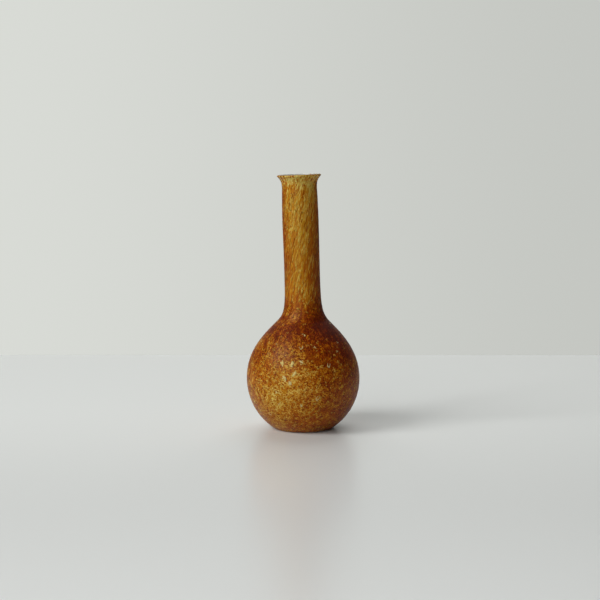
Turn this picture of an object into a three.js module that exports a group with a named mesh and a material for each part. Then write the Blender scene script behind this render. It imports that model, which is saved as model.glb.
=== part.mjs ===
// Hand-blown bud vase in cased glass: four vessels of glass, one inside the other, fused while hot.
// Millimetres, +Z up, origin at the centre of the foot. The neck leans a little to the left and back.
import * as THREE from "three";

// Driving dimensions of the outside.
const LIP_RADIUS = 13.9; // where the flare would end if the lip weren't rounded
const LIP_HEIGHT = 159.6;
const LIP_FLARE = THREE.MathUtils.degToRad(52); // slope of the flare above the horizontal
const LIP_RUN = 2.8; // how long the flare stays straight
const LIP_TURN = 5.5; // how long the neck stays straight before it flares
const NECK_RADIUS = 11.2;
const NECK_BULGE = 0.35; // hand-made fullness of the neck's upper half
const NECK_WAIST = 0.25; // how much narrower the neck is just under the lip
const NECK_FOOT = 108; // height where the shoulder's sweep has become the neck
const NECK_STRAIGHT = 30; // how long the sweep runs almost straight below that
const NECK_TOP = 151;
const SHOULDER_RADIUS = 16.7;
const SHOULDER_HEIGHT = 68;
const SHOULDER_SLOPE = THREE.MathUtils.degToRad(46);
const BELLY_RADIUS = 35.6;
const BELLY_HEIGHT = 32; // where the belly is widest
const FOOT_RADIUS = 18;
const FOOT_EDGE = 0.8; // rounding of the foot's rim

// Glass thickness, through all layers.
const WALL = { belly: 2.8, neck: 2.2, lip: 1.4 };
const BASE = 7; // up to the floor of the hollow
const HOLLOW_EDGE = 7; // rounding of the hollow's floor

// The ground and polished mark where the punty broke off: a shallow bowl in the foot.
const PONTIL_RADIUS = 9.5;
const PONTIL_DEPTH = 2.4;

// The neck's lean: it starts above the shoulder and follows a power of the height.
const LEAN_START = 70;
const LEAN_SHIFT = 3.4; // how far the lip's centre is from the foot's axis
const LEAN_TOWARDS = THREE.MathUtils.degToRad(142); // direction of the lean, from +X towards +Y
const LEAN_POWER = 1.25;

// Fineness.
const SIDES = 32;
const STEPS = { edge: 2, belly: 6, crown: 5, shoulder: 6, neck: 3, lip: 5, pontil: 3 };

const SEAM = 0.05; // gap that stands for each fused seam

// The layers from the outside in. Each ends at a share of the wall's thickness, and at another share
// of the lip's, because the casing flowed over the edge when the lip was fire-polished.
const LAYERS = [
  { name: "satin_casing", wall: 0.22, lip: 0.5, color: 0xa06a28, roughness: 0.5, opacity: 1 },
  { name: "brown_frit_layer", wall: 0.44, lip: 0.64, color: 0x6b2c0a, roughness: 0.5, opacity: 1 },
  { name: "amber_underlay", wall: 0.6, lip: 0.78, color: 0xb5801f, roughness: 0.4, opacity: 1 },
  { name: "opal_lining", wall: 1, lip: 1, color: 0xb9ad92, roughness: 0.15, opacity: 0.9 },
];

// Radius of the ground mark at a height above the foot's plane.
const pontilRadius = (z) => PONTIL_RADIUS * Math.sqrt(Math.max(0, 1 - z / PONTIL_DEPTH));

// How much lower the rounded lip is at a depth into its wall than at its top.
function lipDrop(depth) {
  const half = WALL.lip / 2;
  return half - Math.sqrt(Math.max(0, half ** 2 - (depth - half) ** 2));
}

// One surface of the wall, as points (radius, height) from the foot to the lip. depth is how far in
// it lies, in millimetres, at the belly, the neck and the lip. floor is the height of its bottom.
function surface(depth, floor, edge) {
  const across = BELLY_RADIUS - depth.belly;
  const fullDrop = BELLY_HEIGHT / Math.sqrt(1 - (FOOT_RADIUS / BELLY_RADIUS) ** 2);
  const drop = fullDrop - depth.belly;
  const bellyAngle = (z) => -Math.asin((BELLY_HEIGHT - z) / drop);
  const corner = across * Math.cos(bellyAngle(floor));

  const slope = new THREE.Vector2(-Math.cos(SHOULDER_SLOPE), Math.sin(SHOULDER_SLOPE));
  const shoulder = new THREE.Vector2(
    SHOULDER_RADIUS - slope.y * depth.belly,
    SHOULDER_HEIGHT + slope.x * depth.belly,
  );
  const neckRadius = NECK_RADIUS - depth.neck;
  const flare = new THREE.Vector2(Math.cos(LIP_FLARE), Math.sin(LIP_FLARE));
  const lip = new THREE.Vector2(LIP_RADIUS, LIP_HEIGHT)
    .add(new THREE.Vector2(-flare.y, flare.x).multiplyScalar(depth.lip))
    .addScaledVector(flare, -lipDrop(depth.lip));

  const line = (...places) => new THREE.LineCurve(...places);
  const bend = (...places) => new THREE.CubicBezierCurve(...places);
  const at = (x, y) => new THREE.Vector2(x, y);
  const edgeAngle = bellyAngle(floor + edge);
  const edgeTop = at(across * Math.cos(edgeAngle), floor + edge);
  const edgeBottom = at(corner - edge, floor);
  const belly = at(across, BELLY_HEIGHT);
  const neck = at(neckRadius, NECK_FOOT);
  const neckEnd = at(neckRadius - NECK_WAIST, NECK_TOP);

  const curves = [
    [line(at(pontilRadius(floor), floor), edgeBottom), 1],
    [new THREE.QuadraticBezierCurve(edgeBottom, at(corner, floor), edgeTop), STEPS.edge],
    [new THREE.EllipseCurve(0, BELLY_HEIGHT, across, drop, edgeAngle, 0), STEPS.belly],
    [
      bend(
        belly,
        at(across, BELLY_HEIGHT + across / 2),
        shoulder.clone().addScaledVector(slope, -0.3 * across),
        shoulder,
      ),
      STEPS.crown,
    ],
    [
      bend(
        shoulder,
        shoulder.clone().addScaledVector(slope, (shoulder.x - neckRadius) / -slope.x),
        at(neckRadius, NECK_FOOT - NECK_STRAIGHT),
        neck,
      ),
      STEPS.shoulder,
    ],
    [
      bend(
        neck,
        at(neckRadius, NECK_FOOT + 10),
        at(neckRadius + NECK_BULGE, NECK_TOP - 15),
        neckEnd,
      ),
      STEPS.neck,
    ],
    [
      bend(
        neckEnd,
        at(neckEnd.x, NECK_TOP + LIP_TURN),
        lip.clone().addScaledVector(flare, -LIP_RUN),
        lip,
      ),
      STEPS.lip,
    ],
  ];
  return curves.flatMap(([curve, steps], i) => curve.getPoints(steps).slice(i > 0 ? 1 : 0));
}

// The surface at a share of the wall's and the lip's thickness, moved further in by extra.
function surfaceAt({ wall, lip }, extra) {
  const depth = {
    belly: wall * WALL.belly + extra,
    neck: wall * WALL.neck + extra,
    lip: lip * WALL.lip + extra,
  };
  return surface(depth, depth.belly, FOOT_EDGE);
}

// The bowl of the ground mark, from the axis out to where a surface at this height begins.
function pontilBowl(floor) {
  const rim = pontilRadius(floor);
  return Array.from({ length: STEPS.pontil }, (_, i) => {
    const r = (rim * i) / STEPS.pontil;
    return new THREE.Vector2(r, PONTIL_DEPTH * (1 - (r / PONTIL_RADIUS) ** 2));
  });
}

// Leans a body of revolution: each level moves off the axis and stays square to the leaning
// centre line.
function lean(geometry) {
  const places = geometry.getAttribute("position");
  const reach = LIP_HEIGHT - LEAN_START;
  geometry.rotateZ(-LEAN_TOWARDS);
  for (let i = 0; i < places.count; i++) {
    const along = Math.max(0, (places.getZ(i) - LEAN_START) / reach);
    const tilt = Math.atan((LEAN_SHIFT * LEAN_POWER * along ** (LEAN_POWER - 1)) / reach);
    const x = places.getX(i);
    places.setX(i, x * Math.cos(tilt) + LEAN_SHIFT * along ** LEAN_POWER);
    places.setZ(i, places.getZ(i) - x * Math.sin(tilt));
  }
  geometry.rotateZ(LEAN_TOWARDS);
  geometry.computeVertexNormals();
  return geometry;
}

// A vessel of one glass, spun from its closed profile.
function vessel(profile, { name, color, roughness, opacity }) {
  const geometry = lean(new THREE.LatheGeometry(profile, SIDES).rotateX(Math.PI / 2));
  const transparent = opacity < 1;
  const finish = { color, roughness, opacity, transparent, metalness: 0 };
  const mesh = new THREE.Mesh(geometry, new THREE.MeshStandardMaterial(finish));
  mesh.name = name;
  return mesh;
}

const vase = new THREE.Group();
let outer = { wall: 0, lip: 0 };
for (const layer of LAYERS) {
  const outside = surfaceAt(outer, outer.wall > 0 ? SEAM : 0);
  if (layer.wall < 1) {
    const inside = surfaceAt(layer, 0);
    vase.add(vessel([...outside, ...inside.reverse(), outside[0].clone()], layer));
  } else {
    const inside = surface(WALL, BASE, HOLLOW_EDGE);
    const bowl = pontilBowl(outside[0].y);
    vase.add(vessel([...bowl, ...outside, ...inside.reverse()], layer));
  }
  outer = layer;
}

export default vase;
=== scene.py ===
"""Hand-blown bud vase: a belly and a slim neck of cased glass, mottled amber and brown, matted outside.

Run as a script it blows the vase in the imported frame, sets it on a pale floor and lights it.
"""

import math
import random

import bpy
from bpy.props import FloatProperty, FloatVectorProperty, IntProperty, PointerProperty
from mathutils import Matrix, Vector


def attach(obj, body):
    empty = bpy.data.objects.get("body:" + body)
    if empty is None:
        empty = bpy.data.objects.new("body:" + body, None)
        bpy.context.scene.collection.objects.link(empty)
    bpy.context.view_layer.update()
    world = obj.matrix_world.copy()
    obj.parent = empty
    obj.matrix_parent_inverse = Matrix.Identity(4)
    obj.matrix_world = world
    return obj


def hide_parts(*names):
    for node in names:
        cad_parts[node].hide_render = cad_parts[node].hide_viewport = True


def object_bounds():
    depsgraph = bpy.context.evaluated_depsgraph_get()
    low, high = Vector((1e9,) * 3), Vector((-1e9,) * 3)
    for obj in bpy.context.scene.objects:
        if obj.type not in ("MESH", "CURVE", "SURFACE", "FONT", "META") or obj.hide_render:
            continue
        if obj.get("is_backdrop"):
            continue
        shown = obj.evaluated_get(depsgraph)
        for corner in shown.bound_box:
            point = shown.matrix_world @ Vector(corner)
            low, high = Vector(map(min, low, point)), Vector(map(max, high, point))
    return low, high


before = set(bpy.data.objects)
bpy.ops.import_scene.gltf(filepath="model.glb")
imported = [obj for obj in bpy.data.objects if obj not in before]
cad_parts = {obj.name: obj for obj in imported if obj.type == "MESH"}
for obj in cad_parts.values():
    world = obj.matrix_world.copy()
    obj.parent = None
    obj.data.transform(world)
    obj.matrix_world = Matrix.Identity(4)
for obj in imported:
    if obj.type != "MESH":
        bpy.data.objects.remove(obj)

bl_info = {
    "name": "Cased Glass Bud Vase",
    "version": (1, 0, 0),
    "blender": (4, 5, 0),
    "location": "View3D > Sidebar > Bud Vase",
    "description": "Blows a mottled bud vase layer by layer and sets it in a plain studio",
    "category": "Object",
}

CAD_LOW, CAD_HIGH = (tuple(corner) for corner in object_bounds())
MM = 0.001

# The layers from the outside in, and the shares of the wall's and the lip's thickness where each ends.
LAYER_ENDS = {
    "satin_casing": (0.22, 0.5),
    "brown_frit_layer": (0.44, 0.64),
    "amber_underlay": (0.6, 0.78),
    "opal_lining": (1.0, 1.0),
}
SEAM = 0.05 * MM

# The whole wall, the hollow in it, and the mark that is ground into the foot.
WALL = {"belly": 2.8 * MM, "neck": 2.2 * MM, "lip": 1.4 * MM}
HOLLOW_FLOOR = 7 * MM
HOLLOW_EDGE = 7 * MM
FOOT_EDGE = 0.8 * MM
PONTIL_RADIUS = 9.5 * MM
PONTIL_DEPTH = 2.4 * MM

# How the outline bends: the shoulder's slope, the almost straight neck and the flared lip.
SHOULDER_SLOPE = math.radians(46)
NECK_FOOT = 108 * MM
NECK_STRAIGHT = 30 * MM
NECK_TOP = 151 * MM
NECK_BULGE = 0.35 * MM
NECK_WAIST = 0.25 * MM
LIP_FLARE = math.radians(52)
LIP_TURN = 5.5 * MM
LIP_RUN = 2.8 * MM
LIP_FULLNESS = 0.8

# The neck's lean starts at a height and follows a power of it. The wobble's waves are counted
# over a height, and fade out below another one.
LEAN_START = 70 * MM
LEAN_POWER = 1.25
WOBBLE_HEIGHT = 160 * MM
ROUND_FOOT = 8 * MM

# A point that is nearer the axis than this is on it.
ON_AXIS = 0.0001 * MM

# How many points each stretch of the outline has.
POINTS = {
    "mark": 12,
    "base": 8,
    "edge": 8,
    "belly": 44,
    "crown": 36,
    "shoulder": 42,
    "neck": 26,
    "lip": 16,
    "rim": 6,
}


# ---------------------------------------------------------------------------------------------
# Sizes and colours that a glassblower would choose


def metres(name, description, default):
    """A size in metres."""
    return FloatProperty(name=name, description=description, subtype="DISTANCE", default=default)


def linear_colour(name, description, default):
    """A colour as linear light."""
    return FloatVectorProperty(
        name=name, description=description, subtype="COLOR", size=3, default=default
    )


class VaseSizes(bpy.types.PropertyGroup):
    """Outside sizes of the vase."""

    belly_radius: metres("Belly radius", "Half the widest width", (CAD_HIGH[0] - CAD_LOW[0]) / 2)
    belly_height: metres("Belly height", "Height where the belly is widest", 32 * MM)
    foot_radius: metres("Foot radius", "Radius where the belly is cut off flat", 18 * MM)
    shoulder_radius: metres(
        "Shoulder radius", "Radius where the shoulder turns into the neck", 16.7 * MM
    )
    shoulder_height: metres(
        "Shoulder height", "Height where the shoulder turns into the neck", 68 * MM
    )
    neck_radius: metres("Neck radius", "Radius of the neck's lower half", 11.2 * MM)
    lip_radius: metres(
        "Lip radius", "Radius where the flare would end if it weren't rounded", 13.9 * MM
    )
    lip_height: metres("Lip height", "Height where the flare would end", 159.6 * MM)
    lean: metres("Lean", "How far the lip is off the foot's axis", 3.4 * MM)
    lean_towards: FloatProperty(
        name="Lean towards", description="Direction of the lean, from +X towards +Y",
        subtype="ANGLE", default=math.radians(142),
    )
    wobble: metres("Wobble", "How far the hand-made wall strays from round", 0.14 * MM)
    slant: FloatProperty(
        name="Slant", description="How far the streaks in the neck are off upright",
        subtype="ANGLE", default=math.radians(-13),
    )
    sides: IntProperty(name="Sides", description="Points round the vase", default=176, min=32)


class GlassColours(bpy.types.PropertyGroup):
    """Colours of the glass, as linear light."""

    shadow_brown: linear_colour("Deep brown", "The densest brown frit", (0.072, 0.0058, 0.0002))
    brown: linear_colour("Brown", "Brown frit", (0.165, 0.021, 0.0003))
    ochre: linear_colour("Ochre", "Where brown and amber run together", (0.3, 0.076, 0.0008))
    amber: linear_colour("Amber", "Amber powder", (0.41, 0.167, 0.005))
    cream: linear_colour("Cream", "Pale grains and threads", (0.54, 0.365, 0.07))
    # the fleck colour is the blotches' own, and on the seed bubbles a painted glint
    fleck: linear_colour("Fleck", "Opal blotches and seed bubbles on the skin", (0.5, 0.42, 0.2))
    opal: linear_colour("Opal", "The milky lining", (0.42, 0.42, 0.36))


class StudioSettings(bpy.types.PropertyGroup):
    """Camera, floor and lights."""

    lens: FloatProperty(
        name="Lens", description="Focal length on a 36 mm sensor", subtype="DISTANCE_CAMERA",
        default=106.9,
    )
    distance: metres("Distance", "From the camera to the vase's axis", 1.113)
    height: metres("Camera height", "Above the floor", 0.2183)
    tilt: FloatProperty(
        name="Tilt", description="How far the camera looks down", subtype="ANGLE",
        default=math.radians(7.013),
    )
    floor: linear_colour("Floor", "Colour of the floor", (0.8, 0.82, 0.8))
    wall: linear_colour("Surroundings", "Colour of the pale surroundings", (0.63, 0.645, 0.61))
    top_power: FloatProperty(
        name="Overhead light", description="Power of the wide light above", unit="POWER",
        default=10.5,
    )
    key_power: FloatProperty(
        name="Key light", description="Power of the soft light from the left", unit="POWER",
        default=44.0,
    )
    window_power: FloatProperty(
        name="Front light", description="Power of the soft light from the left and front",
        unit="POWER", default=30.0,
    )


# ---------------------------------------------------------------------------------------------
# The outline and the spinning of a vessel


def bend(start, pull_out, pull_in, end, steps):
    """Points along a smooth curve from start to end, without its start."""
    points = []
    for step in range(1, steps + 1):
        t = step / steps
        points.append(
            start * (1 - t) ** 3
            + pull_out * (3 * (1 - t) ** 2 * t)
            + pull_in * (3 * (1 - t) * t**2)
            + end * t**3
        )
    return points


def pontil_radius(height):
    """Radius of the ground mark in the foot at a height above the floor."""
    return PONTIL_RADIUS * math.sqrt(max(0, 1 - height / PONTIL_DEPTH))


def lip_drop(depth):
    """How much lower the rounded lip is at a depth into its wall than at its top."""
    half = WALL["lip"] / 2
    return half - math.sqrt(max(0, half**2 - (depth - half) ** 2))


def surface(sizes, depth, floor, edge):
    """One surface of the wall from the foot to the lip, as (radius, height).

    depth says how far into the glass it lies at the belly, the neck and the lip.
    """
    across = sizes.belly_radius - depth["belly"]
    cut = math.sqrt(1 - (sizes.foot_radius / sizes.belly_radius) ** 2)
    drop = sizes.belly_height / cut - depth["belly"]
    waist = sizes.belly_height

    def belly(height):
        angle = -math.asin((waist - height) / drop)
        return Vector((across * math.cos(angle), height))

    slope = Vector((-math.cos(SHOULDER_SLOPE), math.sin(SHOULDER_SLOPE)))
    shoulder = Vector((sizes.shoulder_radius, sizes.shoulder_height))
    shoulder += Vector((-slope.y, slope.x)) * depth["belly"]
    neck = sizes.neck_radius - depth["neck"]
    neck_foot = Vector((neck, NECK_FOOT))
    neck_end = Vector((neck - NECK_WAIST, NECK_TOP))
    flare = Vector((math.cos(LIP_FLARE), math.sin(LIP_FLARE)))
    lip = Vector((sizes.lip_radius, sizes.lip_height))
    lip += Vector((-flare.y, flare.x)) * depth["lip"] - flare * lip_drop(depth["lip"])

    corner = Vector((belly(floor).x, floor))
    edge_start = corner - Vector((edge, 0))
    edge_end = belly(floor + edge)
    inner = pontil_radius(floor)
    points = []
    for step in range(POINTS["base"] + 1):
        along = (edge_start.x - inner) * step / POINTS["base"]
        points.append(Vector((inner + along, floor)))
    for step in range(1, POINTS["edge"] + 1):
        t = step / POINTS["edge"]
        points.append(edge_start * (1 - t) ** 2 + corner * (2 * t * (1 - t)) + edge_end * t**2)
    low = -math.asin((waist - floor - edge) / drop)
    for step in range(1, POINTS["belly"] + 1):
        angle = low * (1 - step / POINTS["belly"])
        points.append(Vector((across * math.cos(angle), waist + drop * math.sin(angle))))

    pulls = Vector((across, waist + across / 2)), shoulder - slope * (0.3 * across)
    points += bend(points[-1], *pulls, shoulder, POINTS["crown"])
    pull = shoulder + slope * ((shoulder.x - neck) / -slope.x)
    straight = Vector((neck, NECK_FOOT - NECK_STRAIGHT))
    points += bend(shoulder, pull, straight, neck_foot, POINTS["shoulder"])
    pulls = Vector((neck, NECK_FOOT + 10 * MM)), Vector((neck + NECK_BULGE, NECK_TOP - 15 * MM))
    points += bend(neck_foot, *pulls, neck_end, POINTS["neck"])
    pulls = neck_end + Vector((0, LIP_TURN)), lip - flare * LIP_RUN
    points += bend(neck_end, *pulls, lip, POINTS["lip"])
    return points


def surface_at(sizes, shares, extra):
    """The surface at a share of the wall's and of the lip's thickness, moved in by a little extra."""
    share = {"belly": shares[0], "neck": shares[0], "lip": shares[1]}
    depth = {place: share[place] * wall + extra for place, wall in WALL.items()}
    return surface(sizes, depth, depth["belly"], FOOT_EDGE)


def rounded_end(outside, inside):
    """Points that carry the lip of a layer over from its outside to its inside."""
    start, end = outside[-1], inside[-1]
    middle = (start + end) / 2
    span = (end - start) / 2
    rise = Vector((span.y, -span.x))
    if rise.y < 0:
        rise = -rise
    points = []
    for step in range(1, POINTS["rim"]):
        angle = math.pi * step / POINTS["rim"]
        points.append(middle - span * math.cos(angle) + rise * (LIP_FULLNESS * math.sin(angle)))
    return points


def hand_wobble(sizes, angle, height):
    """How far the wall strays outwards here, because it was shaped by hand; the foot stays round."""
    up = height / WOBBLE_HEIGHT
    waves = (
        0.5 * math.sin(2 * angle + 9 * up + 0.6)
        + 0.3 * math.sin(3 * angle - 14 * up + 2.1)
        + 0.2 * math.sin(5 * angle + 23 * up + 4.0)
    )
    return sizes.wobble * waves * min(1, height / ROUND_FOOT)


def leaned(sizes, point):
    """Moves a point with the neck's lean, square to the leaning centre line."""
    reach = sizes.lip_height - LEAN_START
    along = max(0, (point.z - LEAN_START) / reach)
    tilt = math.atan(sizes.lean * LEAN_POWER * along ** (LEAN_POWER - 1) / reach)
    cos, sin = math.cos(sizes.lean_towards), math.sin(sizes.lean_towards)
    ahead = point.x * cos + point.y * sin
    aside = point.y * cos - point.x * sin
    moved = ahead * math.cos(tilt) + sizes.lean * along**LEAN_POWER
    return Vector(
        (moved * cos - aside * sin, moved * sin + aside * cos, point.z - ahead * math.sin(tilt))
    )


def eased(value, low, high):
    """0 below low, 1 above high, and a smooth step between."""
    t = min(1, max(0, (value - low) / (high - low)))
    return t * t * (3 - 2 * t)


def stretch_of(height):
    """How much longer the neck's glass was drawn out than it was when the frit went on."""
    neck = eased(height, 48 * MM, 108 * MM)
    lip = eased(height, 153 * MM, 159 * MM)
    return 1 + 3.4 * neck - 1.2 * lip


def narrowing_of(height):
    """How much wider round the neck's glass was when the frit went on."""
    neck = eased(height, 46 * MM, 80 * MM)
    lip = eased(height, 152 * MM, 160 * MM)
    return 1 + 0.8 * neck - 0.4 * lip


def twist_of(height):
    """How far the neck's glass was turned while it was drawn: 1.15 degrees for each mm."""
    start, settled, turn = 62 * MM, 24 * MM, 20.0
    drawn = max(0, height - start)
    return turn * drawn * min(1, drawn / settled)


# How pale the mottle's ground is at each height, from 0 for dense brown to 1 for cream.
BANDS = (
    (0, 0.45),
    (18, 0.52),
    (38, 0.54),
    (54, 0.43),
    (66, 0.27),
    (76, 0.38),
    (90, 0.55),
    (125, 0.57),
    (148, 0.62),
    (161, 0.78),
)

# Patches where more or less brown was picked up, and patches of painted shade and light: angle
# in degrees, height and reach in mm, and how much paler they are.
PATCHES = (
    # the front of the belly
    # painted light: paler low on the left, as if lit through the glass
    (-117, 22, 13, 0.1),
    (-103, 39, 11, 0.1),
    (-110, 46, 9, -0.05),
    (-136, 53, 14, -0.02),
    (-75, 62, 15, -0.08),
    (-60, 15, 14, -0.03),
    (-50, 60, 20, -0.12),
    (-62, 40, 10, -0.03),
    # the shoulder and the neck
    (-115, 68, 14, -0.07),
    (-80, 84, 12, 0.17),
    (-110, 92, 11, 0.05),
    (-130, 82, 12, 0.08),
    (-95, 120, 14, 0.05),
    (-125, 138, 16, 0.1),
    (-45, 154, 11, 0.14),
    # the lip
    (180, 159, 7, -0.3),
    (0, 159, 7, -0.3),
    (-134, 159.2, 1.3, -0.4),
    (-113, 159.3, 1.1, -0.4),
    (-105, 159.3, 1.1, -0.4),
    (-60, 158.5, 1.3, -0.35),
    (-84, 158.9, 1.2, -0.3),
    (-94, 157.2, 1.2, -0.2),
    (-76, 159.4, 3, 0.16),
    (-62, 157, 6, 0.04),
    (-97, 157, 2, -0.06),
    (-70, 157.5, 1.2, -0.25),
    (-48, 157.5, 1.4, -0.2),
    (-150, 158.5, 6, -0.12),
    (-121, 159.4, 2, 0.12),
    (-118, 155, 2, -0.12),
    # the left side: painted shade, darker towards the edge that faces the lights
    (-168, 98, 18, -0.2),
    (-168, 135, 24, -0.22),
    (-172, 157, 12, -0.14),
    (-155, 38, 22, -0.1),
    # the back
    (75, 158, 4, -0.35),
    (120, 158, 4, -0.35),
    (100, 40, 18, 0.08),
    (60, 20, 14, -0.06),
)
PATCH_RADIUS = 30  # mm, the distance from the axis at which a patch's reach is true
BELLY_ROUND = 33  # mm, the belly's radius where most marks lie
# The side away from the lights, which is painted darker and more orange as shade.
SHADED_SIDE = math.radians(8)

# How many shapes of grain there are to pick from.
GRAIN_KINDS = 6

# Blotches of opal on the front: angle, height, half width, half length, turn, kind.
BLOTCHES = [
    (-113, 46, 1.0, 1.3, 10, 0),
    (-102, 46, 1.1, 1.5, -20, 1),
    (-92, 47, 0.6, 1.3, 60, 3),
    (-99, 40, 0.7, 1.9, -30, 3),
    (-109, 37, 1.0, 1.4, 35, 1),
    (-103, 34, 0.9, 1.2, 0, 0),
    (-92, 20, 0.6, 1.1, -10, 2),
    (-118, 28, 0.5, 0.8, 20, 3),
    (-88, 62, 0.4, 0.7, -10, 1),
]
# The glass round each blotch is paler too.
HALOS = tuple((angle, height, 1.4, 0.12) for angle, height, *_ in BLOTCHES)

# Open seed bubbles on the front, drawn long by the blowing, with the same values for each.
# Their pale colour is a painted glint of light caught on their rims.
BUBBLE_GLINTS = [
    (-93, 56, 1.0, 1.7, 8, 1),
    (-78, 56, 0.8, 1.8, 60, 0),
    (-62, 45, 0.8, 1.6, -12, 2),
    (-49, 52, 0.7, 1.7, 95, 0),
    (-75, 25, 0.8, 1.7, -28, 2),
    # two pale streaks low on the left: painted glints
    (-152, 14, 0.35, 1.6, 30, 2),
    (-133, 13, 0.4, 1.3, 32, 2),
    (-91, 63, 0.4, 0.6, 0, 2),
    (-117, 21, 0.6, 0.9, 20, 1),
    (-135, 51, 0.4, 0.9, 10, 2),
    (-128, 57, 0.4, 0.8, -15, 1),
]

# Patches where the amber is more golden, two of them painted light: angle in degrees, height and
# reach in mm, and how much.
GOLDEN = (
    # painted light: more golden low on the left, as if lit through the glass
    (-118, 22, 14, 0.9),
    # painted sheen of the key light on the matted skin
    (-112, 49, 19, 0.6),
    (-85, 22, 14, -0.4),
    (-90, 5, 13, -0.7),
    (-85, 66, 11, -0.7),
    (-120, 66, 14, -0.5),
    (-45, 58, 20, -0.5),
    (-95, 88, 16, 0.5),
    (-100, 125, 22, 0.6),
    (-80, 158, 9, 0.6),
    (95, 30, 20, 0.7),
    (30, 100, 22, 0.5),
)


def shade_side_of(angle):
    """Painted shade: 0 on the side towards the lights and 1 on the side away from them.

    The shade is painted darker and more orange.
    """
    return eased(math.cos(angle - SHADED_SIDE), -0.25, 1)


def paleness(angle, height):
    """How pale the ground is here: the brown frit was picked up unevenly.

    Painted shade darkens the side away from the lights.
    """
    level = height / MM
    tone = BANDS[-1][1]
    for (low, before), (high, after) in zip(BANDS, BANDS[1:]):
        if level < high:
            tone = before + (after - before) * eased(level, low, high)
            break
    return tone - 0.12 * shade_side_of(angle) + sum_of_patches(PATCHES + HALOS, angle, level)


def sum_of_patches(patches, angle, level):
    """What soft-edged patches add up to at an angle and a height in mm."""
    total = 0
    for turn, middle, reach, amount in patches:
        round_it = 1 - math.cos(angle - math.radians(turn))
        away = (level - middle) ** 2 + 2 * PATCH_RADIUS**2 * round_it
        total += amount * math.exp(-away / reach**2)
    return total


def gold_of(angle, height):
    """How golden the amber is here, where 0 is orange: the thin glass of the neck is more golden.

    Painted shade makes the side away from the lights more orange.
    """
    gold = 0.7 * eased(height, 60 * MM, 160 * MM) - 0.1
    return gold - 1.2 * shade_side_of(angle) + sum_of_patches(GOLDEN, angle, height / MM)


def lengths_along(profile):
    """How far along the skin each point of a profile lay before the neck was drawn."""
    lengths = [0.0]
    for before, point in zip(profile, profile[1:]):
        lengths.append(lengths[-1] + (point - before).length / stretch_of(point.y))
    return lengths


def faces_between(rings, lengths, closed):
    """Faces between neighbouring rings of points, and their corners' places in the UV map."""
    faces, spans = [], []
    sides = len(rings[0])
    for i in range(len(rings) if closed else len(rings) - 1):
        low, high = rings[i], rings[(i + 1) % len(rings)]
        v_low = lengths[i] / lengths[-1]
        v_high = 1.0 if i + 1 == len(rings) else lengths[i + 1] / lengths[-1]
        for side in range(sides):
            after = (side + 1) % sides
            u_low, u_high = side / sides, (side + 1) / sides
            corners = [
                (low[side], (u_low, v_low)),
                (low[after], (u_high, v_low)),
                (high[after], (u_high, v_high)),
                (high[side], (u_low, v_high)),
            ]
            kept = [c for k, c in enumerate(corners) if c[0] != corners[k - 1][0]]
            faces.append([c[0] for c in kept])
            spans.append([c[1] for c in kept])
    return faces, spans


def spin(sizes, name, profile, closed):
    """A vessel spun from its profile, with the place each bit of glass had before it was drawn."""
    verts, melt, tones, golds, rings = [], [], [], [], []
    lengths = lengths_along(profile)
    for point, length in zip(profile, lengths):
        on_axis = point.x < ON_AXIS
        count = 1 if on_axis else sizes.sides
        first = len(verts)
        rings.append([first] * sizes.sides if on_axis else range(first, first + count))
        for side in range(count):
            angle = 2 * math.pi * side / sizes.sides
            radius = 0 if on_axis else point.x + hand_wobble(sizes, angle, point.y)
            place = Vector((radius * math.cos(angle), radius * math.sin(angle), point.y))
            verts.append(leaned(sizes, place))
            was = angle - twist_of(point.y)
            wide = point.x * narrowing_of(point.y)
            melt.append(Vector((wide * math.cos(was), wide * math.sin(was), length)))
            tones.append(paleness(angle, point.y))
            golds.append(gold_of(angle, point.y))
    faces, spans = faces_between(rings, lengths, closed)
    mesh = bpy.data.meshes.new(name)
    mesh.from_pydata(verts, [], faces)
    mesh.shade_smooth()
    place = mesh.attributes.new("melt", "FLOAT_VECTOR", "POINT")
    place.data.foreach_set("vector", [c / MM for m in melt for c in m])
    mesh.attributes.new("paleness", "FLOAT", "POINT").data.foreach_set("value", tones)
    mesh.attributes.new("gold", "FLOAT", "POINT").data.foreach_set("value", golds)
    layout = mesh.uv_layers.new(name="UVMap")
    layout.data.foreach_set("uv", [c for span in spans for uv in span for c in uv])
    mesh.validate()
    piece = bpy.data.objects.new(name, mesh)
    bpy.context.scene.collection.objects.link(piece)
    return piece


# ---------------------------------------------------------------------------------------------
# Writing node trees as sums


class Term:
    """One output of a node; sums on it add the nodes that work them out."""

    def __init__(self, recipe, socket):
        self.recipe = recipe
        self.socket = socket

    def other(self, name):
        """Another output of the same node."""
        return Term(self.recipe, self.socket.node.outputs[name])

    @property
    def is_triple(self):
        return self.socket.type in {"VECTOR", "RGBA"}

    def sum_with(self, operation, first, second):
        if self.is_triple:
            pair = [(t,) * 3 if isinstance(t, (int, float)) else t for t in (first, second)]
            return self.recipe.add(
                "ShaderNodeVectorMath", {"operation": operation}, {0: pair[0], 1: pair[1]}
            )
        return self.recipe.add("ShaderNodeMath", {"operation": operation}, {0: first, 1: second})

    def __add__(self, other):
        return self.sum_with("ADD", self, other)

    def __radd__(self, other):
        return self.sum_with("ADD", other, self)

    def __sub__(self, other):
        return self.sum_with("SUBTRACT", self, other)

    def __rsub__(self, other):
        return self.sum_with("SUBTRACT", other, self)

    def __mul__(self, other):
        return self.sum_with("MULTIPLY", self, other)

    def __rmul__(self, other):
        return self.sum_with("MULTIPLY", other, self)


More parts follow.
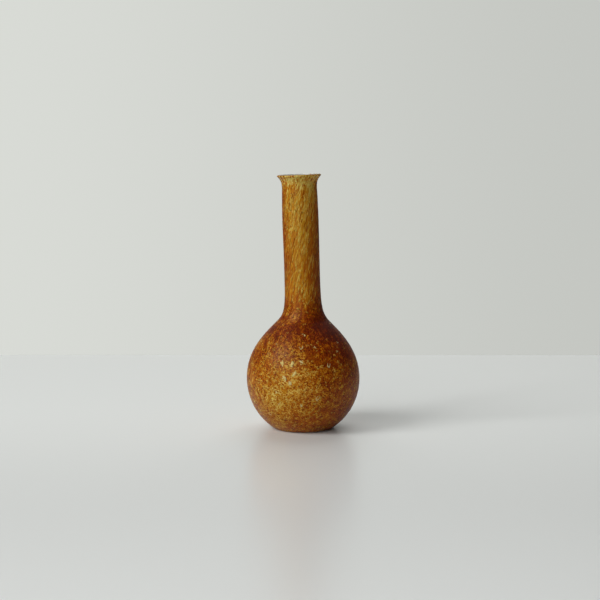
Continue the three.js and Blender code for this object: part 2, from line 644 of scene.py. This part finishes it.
class Recipe:
    """A node tree being filled, for a glass, the floor or a scatter."""

    def __init__(self, tree):
        self.tree = tree
        tree.nodes.clear()

    def add(self, kind, settings=None, inputs=None, output=0):
        """A node with its settings and then the values or links of its sockets."""
        node = self.tree.nodes.new(kind)
        for key, value in (settings or {}).items():
            if key == "stops":
                self.set_stops(node.color_ramp, value)
            else:
                setattr(node, key, value)
        for key, value in (inputs or {}).items():
            if isinstance(value, (Term, list)):
                for term in value if isinstance(value, list) else [value]:
                    self.tree.links.new(term.socket, node.inputs[key])
            else:
                node.inputs[key].default_value = value
        return Term(self, node.outputs[output]) if node.outputs else node

    def set_stops(self, ramp, stops):
        """Gives a ramp its stops, each a place and a colour."""
        while len(ramp.elements) > 1:
            ramp.elements.remove(ramp.elements[-1])
        for i, (place, colour) in enumerate(stops):
            stop = ramp.elements[0] if i == 0 else ramp.elements.new(place)
            stop.position = place
            stop.color = (*colour, 1)

    def noise(self, place, scale, detail=2.0, roughness=0.5, output=0):
        """Soft noise round 0.5, or three of them where its colour is asked for."""
        inputs = {"Vector": place, "Scale": scale, "Detail": detail, "Roughness": roughness}
        return self.add("ShaderNodeTexNoise", None, inputs, output)

    def cells(self, place, scale):
        """How far it is to the middle of the nearest of many cells."""
        inputs = {"Vector": place, "Scale": scale}
        return self.add("ShaderNodeTexVoronoi", {"feature": "F1"}, inputs, "Distance")

    def ease(self, value, low, high, to_low=0.0, to_high=1.0):
        """A smooth step from one value to another while the given one goes from low to high."""
        inputs = {"Value": value, "From Min": low, "From Max": high}
        inputs.update({"To Min": to_low, "To Max": to_high})
        return self.add("ShaderNodeMapRange", {"interpolation_type": "SMOOTHSTEP"}, inputs)

    def blend(self, factor, first, second):
        """The first colour where the factor is 0 and the second where it is 1."""
        settings = {"data_type": "RGBA"}
        return self.add("ShaderNodeMix", settings, {0: factor, 6: first, 7: second}, 2)

    def size_of(self, value):
        """A number without its sign."""
        return self.add("ShaderNodeMath", {"operation": "ABSOLUTE"}, {0: value})

    def random(self, low, high, seed):
        settings = {"data_type": "FLOAT"}
        return self.add("FunctionNodeRandomValue", settings, {2: low, 3: high, "Seed": seed}, 1)

    def ramp(self, value, stops):
        return self.add("ShaderNodeValToRGB", {"stops": stops}, {0: value})

    def where(self):
        """The place on the piece, in metres."""
        return self.add("ShaderNodeTexCoord", None, None, "Object")

    def told(self, name, output="Fac"):
        """What the piece's attribute says here."""
        return self.add("ShaderNodeAttribute", {"attribute_name": name}, None, output)

    def part(self, vector, axis):
        """One of the three numbers of a vector, counted from 0."""
        return self.add("ShaderNodeSeparateXYZ", None, {0: vector}, axis)

    def bump(self, height, strength, distance):
        inputs = {"Height": height, "Strength": strength, "Distance": distance}
        return self.add("ShaderNodeBump", None, inputs)


def new_glass(name):
    """An empty material and the recipe that fills it."""
    material = bpy.data.materials.new(name)
    material.use_nodes = True
    return material, Recipe(material.node_tree)


def finish_glass(recipe, inputs):
    """Adds the glass's shader and its output."""
    shader = recipe.add("ShaderNodeBsdfPrincipled", None, inputs)
    recipe.add("ShaderNodeOutputMaterial", None, {"Surface": shader})


# ---------------------------------------------------------------------------------------------
# The glasses


def frit_tone(recipe, melt, strength):
    """How pale the mottle is here, from 0 in the densest brown to 1 in a cream thread.

    Gives the threads and the grains in it too, which raise the skin a little.
    """
    sway = recipe.noise(melt, 0.5, 2.0, 0.5, "Color")
    place = melt + (sway - 0.5) * 1.6
    fine = recipe.size_of(recipe.noise(place, 0.94, 1.0, 0.4) - 0.5)
    thread = 1 - recipe.ease(fine, 0.02, 0.13)
    coarse = recipe.size_of(recipe.noise(place + 31.0, 0.6, 1.0, 0.4) - 0.5)
    loop = 1 - recipe.ease(coarse, 0.0, 0.08)
    shows = recipe.ease(recipe.noise(melt, 0.3, 2.0), 0.38, 0.62, 0.3, 1.0)
    grain = 1 - recipe.ease(recipe.cells(melt + (sway - 0.5) * 0.9, 0.74), 0.15, 0.6)
    kept = recipe.ease(recipe.noise(melt + 57.0, 0.5, 2.0), 0.34, 0.52)
    curl = recipe.noise(place, 1.1, 2.0, 0.6)
    cloud = recipe.noise(melt, 0.09, 3.0, 0.5)
    ground = recipe.told("paleness")
    mottle = (curl - 0.5) * 0.44 + thread * shows * 0.44 + loop * shows * 0.26
    mottle = mottle - grain * kept * 0.32 - 0.08
    return ground + (cloud - 0.5) * 0.45 + mottle * strength + 0.03, thread, grain


def satin_glass(colours):
    """The casing over the frit: brown grains in amber, drawn to streaks in the neck, matted."""
    material, recipe = new_glass("satin_glass")
    melt = recipe.told("melt", "Vector")
    where = recipe.where()
    height = recipe.part(where, 2)
    strength = recipe.ease(height, 62 * MM, 96 * MM, 0.95, 0.55)
    strength = strength + recipe.ease(height, 145 * MM, 156 * MM, 0.0, 0.45)
    tone, thread, grain = frit_tone(recipe, melt, strength)
    tint = recipe.ramp(
        tone,
        [
            (0.08, tuple(colours.shadow_brown)),
            (0.32, tuple(colours.brown)),
            (0.54, tuple(colours.ochre)),
            (0.76, tuple(colours.amber)),
            (1.0, tuple(colours.cream)),
        ],
    )
    # gold holds painted shade on the side away from the lights, and painted light on the front.
    gold = recipe.told("gold")
    gold = gold + (recipe.noise(melt + 83.0, 0.07, 2.0) - 0.5) * 1.6
    hue = recipe.add("ShaderNodeCombineXYZ", None, {0: 1.0, 1: 1 + gold * 0.22, 2: 1 + gold * 0.7})
    etch = recipe.noise(where, 900.0, 3.0, 0.6)
    roughness = recipe.ease(etch, 0.3, 0.7, 0.36, 0.48)
    orange_peel = recipe.noise(where, 260.0, 2.0)
    height_map = grain * 0.4 + orange_peel * 0.4 + thread * 0.3
    bump = recipe.bump(height_map, 0.25, 0.12 * MM)
    finish_glass(
        recipe,
        {
            "Base Color": hue * tint,
            "Roughness": roughness,
            "IOR": 1.5,
            "Specular IOR Level": 0.2,
            "Specular Tint": (1.0, 0.82, 0.5, 1.0),
            "Subsurface Weight": 0.25,
            "Subsurface Radius": (1.0, 0.4, 0.12),
            "Subsurface Scale": 1.5 * MM,
            "Normal": bump,
        },
    )
    return material


def fused_glass(name, dark, light, scale, roughness):
    """A fused powder of two tones, seen at the lip and where the foot's mark is ground through it."""
    material, recipe = new_glass(name)
    grain = recipe.noise(recipe.where(), scale, 3.0, 0.6)
    tint = recipe.blend(recipe.ease(grain, 0.35, 0.65), (*dark, 1), (*light, 1))
    sheen = recipe.ease(grain, 0.3, 0.7, *roughness)
    finish_glass(recipe, {"Base Color": tint, "Roughness": sheen, "IOR": 1.5})
    return material


def brown_glass(colours):
    """Fused brown frit."""
    return fused_glass("brown_frit", colours.shadow_brown, colours.brown, 900.0, (0.35, 0.5))


def amber_glass(colours):
    """Fused amber powder under the brown."""
    return fused_glass("amber_glass", colours.ochre, colours.amber, 700.0, (0.3, 0.42))


def opal_glass(colours):
    """The milky lining: faintly clouded, with the amber behind it showing through in places."""
    material, recipe = new_glass("opal_glass")
    melt = recipe.told("melt", "Vector")
    where = recipe.where()
    cloud = recipe.noise(melt, 0.35, 3.0, 0.55)
    stain = recipe.ease(cloud, 0.5, 0.78, 0.0, 0.6)
    tint = recipe.blend(stain, (*colours.opal, 1), (*colours.amber, 1))
    ripple = recipe.noise(where, 120.0, 2.0)
    bump = recipe.bump(ripple, 0.2, 0.2 * MM)
    roughness = recipe.ease(cloud, 0.3, 0.7, 0.24, 0.36)
    finish_glass(
        recipe,
        {
            "Base Color": tint,
            "Roughness": roughness,
            "IOR": 1.5,
            "Coat Weight": 0.3,
            "Coat Roughness": 0.32,
            "Normal": bump,
        },
    )
    return material


def fleck_glass(name, dull, bright, roughness, shine=0.09):
    """Glass of the loose grains, each a little different."""
    material, recipe = new_glass(name)
    cloud = recipe.noise(recipe.where(), 1100.0, 2.0)
    tint = recipe.blend(recipe.told("tone") * 0.7 + cloud * 0.3, (*dull, 1), (*bright, 1))
    finish_glass(
        recipe,
        {
            "Base Color": tint,
            "Roughness": recipe.ease(cloud, 0.3, 0.7, roughness, roughness + 0.1),
            "Specular IOR Level": shine,
            "Specular Tint": (1.0, 0.8, 0.4, 1.0),
        },
    )
    return material


# ---------------------------------------------------------------------------------------------
# Slivers, grains, blotches and seed bubbles on the skin, laid with geometry nodes


def new_laying(name, sockets):
    """An empty geometry tree, its recipe and its named inputs."""
    tree = bpy.data.node_groups.new(name, "GeometryNodeTree")
    sockets = {"Geometry": "NodeSocketGeometry", **sockets}
    for label, kind in sockets.items():
        tree.interface.new_socket(label, in_out="INPUT", socket_type=kind)
    tree.interface.new_socket("Geometry", in_out="OUTPUT", socket_type="NodeSocketGeometry")
    recipe = Recipe(tree)
    first = recipe.add("NodeGroupInput")
    return tree, recipe, {label: first.other(label) for label in sockets}


def arc_tube(recipe, sweep, steps):
    """A ring of unit size, tapered to its ends and open by some degrees at the top."""
    along = recipe.add("GeometryNodeSplineParameter") * math.pi
    taper = recipe.add("ShaderNodeMath", {"operation": "SINE"}, {0: along})
    circle = {"Resolution": 4, "Radius": 0.3}
    section = recipe.add("GeometryNodeCurvePrimitiveCircle", None, circle)
    turn = {"Start Angle": math.radians(-90 - sweep / 2), "Sweep Angle": math.radians(sweep)}
    arc = recipe.add("GeometryNodeCurveArc", None, {"Resolution": steps, "Radius": 1.0, **turn})
    arc = recipe.add("GeometryNodeSetCurveRadius", None, {"Curve": arc, "Radius": taper})
    given = {"Curve": arc, "Profile Curve": section, "Fill Caps": True}
    tube = recipe.add("GeometryNodeCurveToMesh", None, given)
    place = recipe.add("GeometryNodeInputPosition")
    stray = recipe.noise(place + 0.1 * sweep, 0.9, 1.0, 0.5, "Color") - 0.5
    return recipe.add("GeometryNodeSetPosition", None, {"Geometry": tube, "Offset": stray * 1.3})


def lumps(recipe):
    """Irregular lumps of unit size to pick from."""
    ball = recipe.add("GeometryNodeMeshUVSphere", None, {"Segments": 8, "Rings": 4, "Radius": 1.0})
    place = recipe.add("GeometryNodeInputPosition")
    kinds = []
    for number in range(GRAIN_KINDS):
        bulge = recipe.noise(place + 7.0 * number, 0.8, 1.0, 0.5, "Color") - 0.5
        moved = {"Geometry": ball, "Offset": bulge * 2.2}
        shape = recipe.add("GeometryNodeSetPosition", None, moved)
        kinds.append(recipe.add("GeometryNodeSetShadeSmooth", None, {"Geometry": shape}))
    return pick_from(recipe, kinds)


def slivers(recipe):
    """Curled slivers to pick from, the finest of the frit."""
    sweeps = (60, 90, 120, 150, 180, 220)
    return pick_from(recipe, [arc_tube(recipe, sweep, 6) for sweep in sweeps])


def crescents(recipe):
    """Three open rings to pick from."""
    return pick_from(recipe, [arc_tube(recipe, sweep, 14) for sweep in (120, 175, 230)])


def pick_from(recipe, kinds):
    """Shapes side by side, so that each point can pick one."""
    single = [recipe.add("GeometryNodeGeometryToInstance", None, {0: kind}) for kind in kinds]
    return recipe.add("GeometryNodeJoinGeometry", None, {0: single[::-1]})


def lay(recipe, given, points, outward, turn, scale, shapes, kind, tone):
    """Turns each shape to lie on the skin with its length uphill, then by its own turn."""
    flat = recipe.add("FunctionNodeAlignRotationToVector", {"axis": "Z"}, {"Vector": outward})
    uphill = recipe.add(
        "FunctionNodeAlignRotationToVector",
        {"axis": "Y", "pivot_axis": "Z"},
        {"Rotation": flat, "Vector": (0, 0, 1)},
    )
    by = recipe.add("FunctionNodeAxisAngleToRotation", None, {"Axis": (0, 0, 1), "Angle": turn})
    turned = recipe.add(
        "FunctionNodeRotateRotation",
        {"rotation_space": "LOCAL"},
        {"Rotation": uphill, "Rotate By": by},
    )
    laid = recipe.add(
        "GeometryNodeInstanceOnPoints",
        None,
        {
            "Points": points,
            "Instance": shapes,
            "Pick Instance": True,
            "Instance Index": kind,
            "Rotation": turned,
            "Scale": scale,
        },
    )
    toned = recipe.add(
        "GeometryNodeStoreNamedAttribute",
        {"data_type": "FLOAT", "domain": "INSTANCE"},
        {"Geometry": laid, "Name": "tone", "Value": tone},
    )
    solid = recipe.add("GeometryNodeRealizeInstances", None, {"Geometry": toned})
    glazed = {"Geometry": solid, "Material": given["Glass"]}
    done = recipe.add("GeometryNodeSetMaterial", None, glazed)
    recipe.add("NodeGroupOutput", None, {"Geometry": done})


def scatter_tree(name, shapes_of):
    """Grains scattered over a skin, drawn out to splinters where the neck was drawn."""
    tree, recipe, given = new_laying(
        name,
        {
            "Spacing": "NodeSocketFloat",
            "Favours pale": "NodeSocketFloat",
            "Size": "NodeSocketFloat",
            "Rise": "NodeSocketFloat",
            "Drawn out": "NodeSocketFloat",
            "Slant": "NodeSocketFloat",
            "Seed": "NodeSocketInt",
            "Glass": "NodeSocketMaterial",
        },
    )
    pale = recipe.add(
        "GeometryNodeInputNamedAttribute", {"data_type": "FLOAT"}, {"Name": "paleness"}
    )
    points = recipe.add(
        "GeometryNodeDistributePointsOnFaces",
        {"distribute_method": "POISSON"},
        {
            "Mesh": given["Geometry"],
            "Distance Min": given["Spacing"],
            "Density Max": 1.0e7,  # so high that only the spacing thins the points out
            "Density Factor": (pale - 0.45) * given["Favours pale"] + 0.5,
            "Seed": given["Seed"],
        },
    )
    height = recipe.part(recipe.add("GeometryNodeInputPosition"), 2)
    drawn = recipe.ease(height, 60 * MM, 92 * MM)
    seed = given["Seed"]
    turn = recipe.random(-math.pi, math.pi, seed + 1) * (1 - drawn) + drawn * given["Slant"]
    drawn = drawn - recipe.ease(height, 145 * MM, 152 * MM)
    size = given["Size"] * recipe.random(0.55, 1.45, seed + 2)
    length = size * recipe.random(0.8, 1.7, seed + 3) * (1 + drawn * given["Drawn out"])
    scale = recipe.add(
        "ShaderNodeCombineXYZ", None, {0: size * (1 - drawn * 0.55), 1: length, 2: given["Rise"]}
    )
    kind = recipe.random(0.0, GRAIN_KINDS - 0.01, seed + 4)
    tone = (pale - 0.22) * 1.5 + recipe.random(0.0, 0.4, seed + 5)
    lay(recipe, given, points, points.other("Normal"), turn, scale, shapes_of(recipe), kind, tone)
    return tree


def marks_tree(name, shapes_of):
    """Single marks, each laid at its own point with its own size, turn and kind."""
    tree, recipe, given = new_laying(name, {"Seed": "NodeSocketInt", "Glass": "NodeSocketMaterial"})

    def told(label, kind):
        return recipe.add("GeometryNodeInputNamedAttribute", {"data_type": kind}, {"Name": label})

    lay(
        recipe,
        given,
        given["Geometry"],
        told("outward", "FLOAT_VECTOR"),
        told("turn", "FLOAT"),
        told("size", "FLOAT_VECTOR"),
        shapes_of(recipe),
        told("kind", "INT"),
        recipe.random(0.3, 1.0, given["Seed"] + 5),
    )
    return tree


def grow(piece, tree, values):
    """Runs a tree on a piece and keeps its result as a plain mesh."""
    modifier = piece.modifiers.new(tree.name, "NODES")
    modifier.node_group = tree
    for item in tree.interface.items_tree:
        if item.in_out == "INPUT" and item.name in values:
            modifier[item.identifier] = values[item.name]
    start = piece.data
    bpy.context.view_layer.update()
    graph = bpy.context.evaluated_depsgraph_get()
    mesh = bpy.data.meshes.new_from_object(piece.evaluated_get(graph))
    piece.modifiers.remove(modifier)
    piece.data = mesh
    mesh.name = piece.name
    bpy.data.meshes.remove(start)


def outer_skin(sizes):
    """The outer skin's outline between the foot's edge and the lip's."""
    low, high = 1.2 * MM, sizes.lip_height - 1.5 * MM
    return [point for point in surface_at(sizes, (0, 0), 0) if low < point.y < high]


def skin_at(sizes, profile, angle, height):
    """The place on the skin at an angle and height, and the direction outwards there."""
    low, high = next((a, b) for a, b in zip(profile, profile[1:]) if b.y >= height)
    point = low.lerp(high, (height - low.y) / (high.y - low.y))
    slope = (high - low).normalized()
    radius = point.x + hand_wobble(sizes, angle, point.y)
    cos, sin = math.cos(angle), math.sin(angle)
    place = leaned(sizes, Vector((radius * cos, radius * sin, point.y)))
    return place, Vector((slope.y * cos, slope.y * sin, -slope.x))


def mark_points(sizes, name, marks, rise):
    """A point for each mark: angle and turn in degrees, height, width and length in mm, kind."""
    profile = outer_skin(sizes)
    places, outwards = [], []
    for angle, height, *_ in marks:
        place, outward = skin_at(sizes, profile, math.radians(angle), height * MM)
        places.append(place)
        outwards.append(outward)
    mesh = bpy.data.meshes.new(name)
    mesh.from_pydata(places, [], [])
    spans = [(mark[2] * MM, mark[3] * MM, rise) for mark in marks]
    for label, triples in {"outward": outwards, "size": spans}.items():
        held = mesh.attributes.new(label, "FLOAT_VECTOR", "POINT")
        held.data.foreach_set("vector", [c for triple in triples for c in triple])
    turns = [math.radians(mark[4]) for mark in marks]
    mesh.attributes.new("turn", "FLOAT", "POINT").data.foreach_set("value", turns)
    kinds = [mark[5] for mark in marks]
    mesh.attributes.new("kind", "INT", "POINT").data.foreach_set("value", kinds)
    piece = bpy.data.objects.new(name, mesh)
    bpy.context.scene.collection.objects.link(piece)
    return piece


def strewn(seed, count, kinds, width, stretch):
    """Marks strewn over the sides and the back of the belly and the shoulder."""
    rng = random.Random(seed)
    marks = []
    for _ in range(count):
        span = rng.uniform(*width)
        marks.append(
            (
                rng.uniform(-40, 205),
                rng.uniform(9, 72),
                span,
                span * rng.uniform(*stretch),
                rng.uniform(-60, 60),
                rng.randrange(kinds),
            )
        )
    return marks


def frayed(marks, seed):
    """Marks with three smaller ones at the edge of each, so that their outlines are ragged."""
    rng = random.Random(seed)
    ragged = list(marks)
    for angle, height, width, reach, turn, kind in marks:
        for part in range(3):
            away = rng.uniform(0, 2 * math.pi)
            along = angle + math.degrees(math.cos(away) * (width + 0.2) / BELLY_ROUND)
            size = rng.uniform(0.25, 0.45) * width
            up = height + math.sin(away) * (reach + 0.1)
            bent = turn + rng.uniform(-70, 70)
            ragged.append((along, up, size, size * 1.9, bent, (kind + part) % GRAIN_KINDS))
    return ragged


# ---------------------------------------------------------------------------------------------
# Operators: one for each layer, one for the grains and marks, one for the stage


def hand_over(piece, material, slot, *nodes):
    """Gives a finished piece its glass and its place in the frame."""
    if not piece.data.materials:
        piece.data.materials.append(material)
    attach(piece, "root")
    if nodes:
        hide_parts(*nodes)


def layer_shell(sizes, name):
    """The closed profile of one of the three outer layers."""
    names = list(LAYER_ENDS)
    first = name == names[0]
    before = (0, 0) if first else LAYER_ENDS[names[names.index(name) - 1]]
    outside = surface_at(sizes, before, 0 if first else SEAM)
    inside = surface_at(sizes, LAYER_ENDS[name], 0)
    return outside + rounded_end(outside, inside) + inside[::-1]


def lining_profile(sizes):
    """The lining's profile, from the middle of the ground mark round to the hollow's floor."""
    outside = surface_at(sizes, LAYER_ENDS["amber_underlay"], SEAM)
    inside = surface(sizes, WALL, HOLLOW_FLOOR, HOLLOW_EDGE)
    rim = pontil_radius(outside[0].y)
    bowl = []
    for step in range(POINTS["mark"]):
        radius = rim * step / POINTS["mark"]
        bowl.append(Vector((radius, PONTIL_DEPTH * (1 - (radius / PONTIL_RADIUS) ** 2))))
    return bowl + outside + rounded_end(outside, inside) + inside[::-1]


class BlowCasing(bpy.types.Operator):
    """Blow the matted outer casing, with the frit's pattern showing in it"""

    bl_idname = "vase.blow_casing"
    bl_label = "Blow the casing"

    def execute(self, context):
        sizes = context.scene.vase_sizes
        piece = spin(sizes, "casing", layer_shell(sizes, "satin_casing"), True)
        hand_over(piece, satin_glass(context.scene.glass_colours), "satin_glass", "satin_casing")
        return {"FINISHED"}


class RollFrit(bpy.types.Operator):
    """Roll on the brown frit that lies under the casing"""

    bl_idname = "vase.roll_frit"
    bl_label = "Roll on the brown frit"

    def execute(self, context):
        sizes = context.scene.vase_sizes
        piece = spin(sizes, "brown_frit", layer_shell(sizes, "brown_frit_layer"), True)
        glass = brown_glass(context.scene.glass_colours)
        hand_over(piece, glass, "brown_frit", "brown_frit_layer")
        return {"FINISHED"}


class RollAmber(bpy.types.Operator):
    """Roll on the amber powder that lies under the frit"""

    bl_idname = "vase.roll_amber"
    bl_label = "Roll on the amber"

    def execute(self, context):
        sizes = context.scene.vase_sizes
        piece = spin(sizes, "amber", layer_shell(sizes, "amber_underlay"), True)
        hand_over(piece, amber_glass(context.scene.glass_colours), "amber_glass", "amber_underlay")
        return {"FINISHED"}


class BlowLining(bpy.types.Operator):
    """Blow the milky lining, with its thick floor and the ground mark under it"""

    bl_idname = "vase.blow_lining"
    bl_label = "Blow the lining"

    def execute(self, context):
        sizes = context.scene.vase_sizes
        piece = spin(sizes, "lining", lining_profile(sizes), False)
        hand_over(piece, opal_glass(context.scene.glass_colours), "opal_glass", "opal_lining")
        return {"FINISHED"}


class StrewGrains(bpy.types.Operator):
    """Strew the curled slivers of cream and the grains of brown frit over the skin"""

    bl_idname = "vase.strew_grains"
    bl_label = "Strew the grains"

    def execute(self, context):
        sizes = context.scene.vase_sizes
        colours = context.scene.glass_colours
        flecks = fleck_glass("fleck_glass", colours.ochre, colours.cream, 0.4)
        grains = fleck_glass("grain_glass", colours.shadow_brown, colours.ochre, 0.42)
        settings = {"Rise": 0.03 * MM, "Slant": sizes.slant}
        plans = (
            ("cream_threads", slivers, flecks, "opal_glass", 1.9, 1.4, 0.66, 2.0, 11),
            ("brown_grains", lumps, grains, "brown_frit", 2.5, -1.6, 0.48, 2.4, 23),
        )
        for name, shapes, glass, slot, spacing, favour, size, drawn, seed in plans:
            piece = spin(sizes, name, outer_skin(sizes), False)
            own = {
                "Spacing": spacing * MM,
                "Favours pale": favour,
                "Size": size * MM,
                "Drawn out": drawn,
                "Seed": seed,
                "Glass": glass,
            }
            grow(piece, scatter_tree("strew_" + name, shapes), {**settings, **own})
            hand_over(piece, glass, slot)
        return {"FINISHED"}


class LayMarks(bpy.types.Operator):
    """Lay the large blotches of opal, and the open seed bubbles with painted glints on their rims"""

    bl_idname = "vase.lay_marks"
    bl_label = "Lay the blotches and bubbles"

    def execute(self, context):
        sizes = context.scene.vase_sizes
        colours = context.scene.glass_colours
        blotches = frayed(BLOTCHES + strewn(5, 18, GRAIN_KINDS, (0.35, 0.75), (1.0, 2.0)), 6)
        bubbles = BUBBLE_GLINTS + strewn(8, 26, 3, (0.35, 0.9), (1.2, 2.4))
        glass = fleck_glass("blotch_glass", colours.cream, colours.fleck, 0.38)
        # the bubbles' pale colour is a painted glint of light on their rims
        glint = fleck_glass("bubble_glint_glass", colours.amber, colours.fleck, 0.25, 0.3)
        plans = (
            ("cream_blotches", blotches, lumps, 0.07, glass, "opal_glass"),
            ("seed_bubbles", bubbles, crescents, 0.2, glint, "satin_glass"),
        )
        for name, marks, shapes, rise, glass, slot in plans:
            piece = mark_points(sizes, name, marks, rise * MM)
            grow(piece, marks_tree("lay_" + name, shapes), {"Seed": 3, "Glass": glass})
            hand_over(piece, glass, slot)
        return {"FINISHED"}


def lay_floor(studio):
    """A pale floor with painted shade, a little darker in front, where it is nearer the lights."""
    near, far, side = -1.6, 0.3, 1.8
    corners = [(-side, near, 0), (side, near, 0), (side, far, 0), (-side, far, 0)]
    mesh = bpy.data.meshes.new("floor")
    mesh.from_pydata(corners, [], [(0, 1, 2, 3)])
    floor = bpy.data.objects.new("floor", mesh)
    bpy.context.scene.collection.objects.link(floor)
    material, recipe = new_glass("floor_paint")
    along = recipe.part(recipe.where(), 1)
    # painted shade: the front of the floor is darker
    shaded_front = tuple(0.84 * part for part in studio.floor)
    paint = recipe.blend(recipe.ease(along, -0.25, 0.08), (*shaded_front, 1), (*studio.floor, 1))
    finish_glass(recipe, {"Base Color": paint, "Roughness": 0.28, "Specular IOR Level": 0.75})
    mesh.materials.append(material)
    return floor


def fill_air(studio):
    """Pale surroundings: they light the vase mostly from behind.

    To the camera they show painted light, brighter on the left and darker on the right.
    """
    world = bpy.data.worlds.new("studio")
    bpy.context.scene.world = world
    world.use_nodes = True
    air = Recipe(world.node_tree)
    place = air.add("ShaderNodeTexCoord", None, None, "Generated")
    light = air.ease(air.part(place, 1), 0.85, 0.98, 0.13, 0.75)
    # painted light on the surroundings the camera sees, brighter towards the lights on the left
    painted_wall_light = air.ease(air.part(place, 0), -0.2, 0.2, 1.1, 0.88)
    cast = air.add("ShaderNodeBackground", None, {0: (*studio.wall, 1), 1: light})
    seen = air.add("ShaderNodeBackground", None, {0: (*studio.wall, 1), 1: painted_wall_light})
    path = air.add("ShaderNodeLightPath", None, None, "Is Camera Ray")
    mixed = air.add("ShaderNodeMixShader", None, {0: path, 1: cast, 2: seen})
    air.add("ShaderNodeOutputWorld", None, {"Surface": mixed})


def hang_light(name, aim, direction, distance, size, power):
    """A square softbox that looks at aim from a direction."""
    light = bpy.data.lights.new(name, "AREA")
    light.shape = "SQUARE"
    light.size = size
    light.energy = power
    lamp = bpy.data.objects.new(name, light)
    direction = Vector(direction).normalized()
    turn = direction.to_track_quat("Z", "Y").to_matrix().to_4x4()
    lamp.matrix_world = Matrix.Translation(Vector(aim) + direction * distance) @ turn
    bpy.context.scene.collection.objects.link(lamp)


def set_camera(studio):
    """A long lens in front of the vase and above its lip, looking slightly down."""
    lens = bpy.data.cameras.new("camera")
    lens.sensor_width = 36
    lens.lens = studio.lens
    camera = bpy.data.objects.new("camera", lens)
    aside = -2 * MM
    camera.location = (aside, -studio.distance, studio.height)
    camera.rotation_euler = (math.pi / 2 - studio.tilt, 0, 0)
    bpy.context.scene.collection.objects.link(camera)
    bpy.context.scene.camera = camera


class SetStage(bpy.types.Operator):
    """Lay the floor, hang the lights and set the camera"""

    bl_idname = "vase.set_stage"
    bl_label = "Set the stage"

    def execute(self, context):
        studio = context.scene.studio_settings
        lay_floor(studio)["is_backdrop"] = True
        fill_air(studio)
        belly = (0, 0, 60 * MM)
        hang_light("key", belly, (-0.86, -0.46, 0.74), 2.6, 1.2, studio.key_power)
        hang_light("window", belly, (-0.5, -0.86, 0.42), 2.8, 1.8, studio.window_power)
        foot = (0, 0, 0)
        hang_light("overhead", foot, (0, 0.8, 1), 1.5, 1.4, studio.top_power)
        set_camera(studio)
        context.scene.view_settings.view_transform = "Standard"
        return {"FINISHED"}


class BudVasePanel(bpy.types.Panel):
    """Sizes, colours and steps of the bud vase"""

    bl_idname = "VIEW3D_PT_bud_vase"
    bl_label = "Bud Vase"
    bl_space_type = "VIEW_3D"
    bl_region_type = "UI"
    bl_category = "Bud Vase"

    def draw(self, context):
        for group in GROUPS:
            settings = getattr(context.scene, group)
            box = self.layout.box()
            for name in settings.__annotations__:
                box.prop(settings, name)
        for operator in STEPS:
            self.layout.operator(operator.bl_idname)


GROUPS = {"vase_sizes": VaseSizes, "glass_colours": GlassColours, "studio_settings": StudioSettings}
STEPS = (BlowCasing, RollFrit, RollAmber, BlowLining, StrewGrains, LayMarks, SetStage)


def register():
    for group in GROUPS.values():
        bpy.utils.register_class(group)
    for name, group in GROUPS.items():
        setattr(bpy.types.Scene, name, PointerProperty(type=group))
    for operator in STEPS:
        bpy.utils.register_class(operator)
    bpy.utils.register_class(BudVasePanel)


def unregister():
    bpy.utils.unregister_class(BudVasePanel)
    for operator in reversed(STEPS):
        bpy.utils.unregister_class(operator)
    for name, group in GROUPS.items():
        delattr(bpy.types.Scene, name)
        bpy.utils.unregister_class(group)


def main():
    register()
    for operator in STEPS:
        category, name = operator.bl_idname.split(".")
        getattr(getattr(bpy.ops, category), name)()


if __name__ == "__main__":
    main()
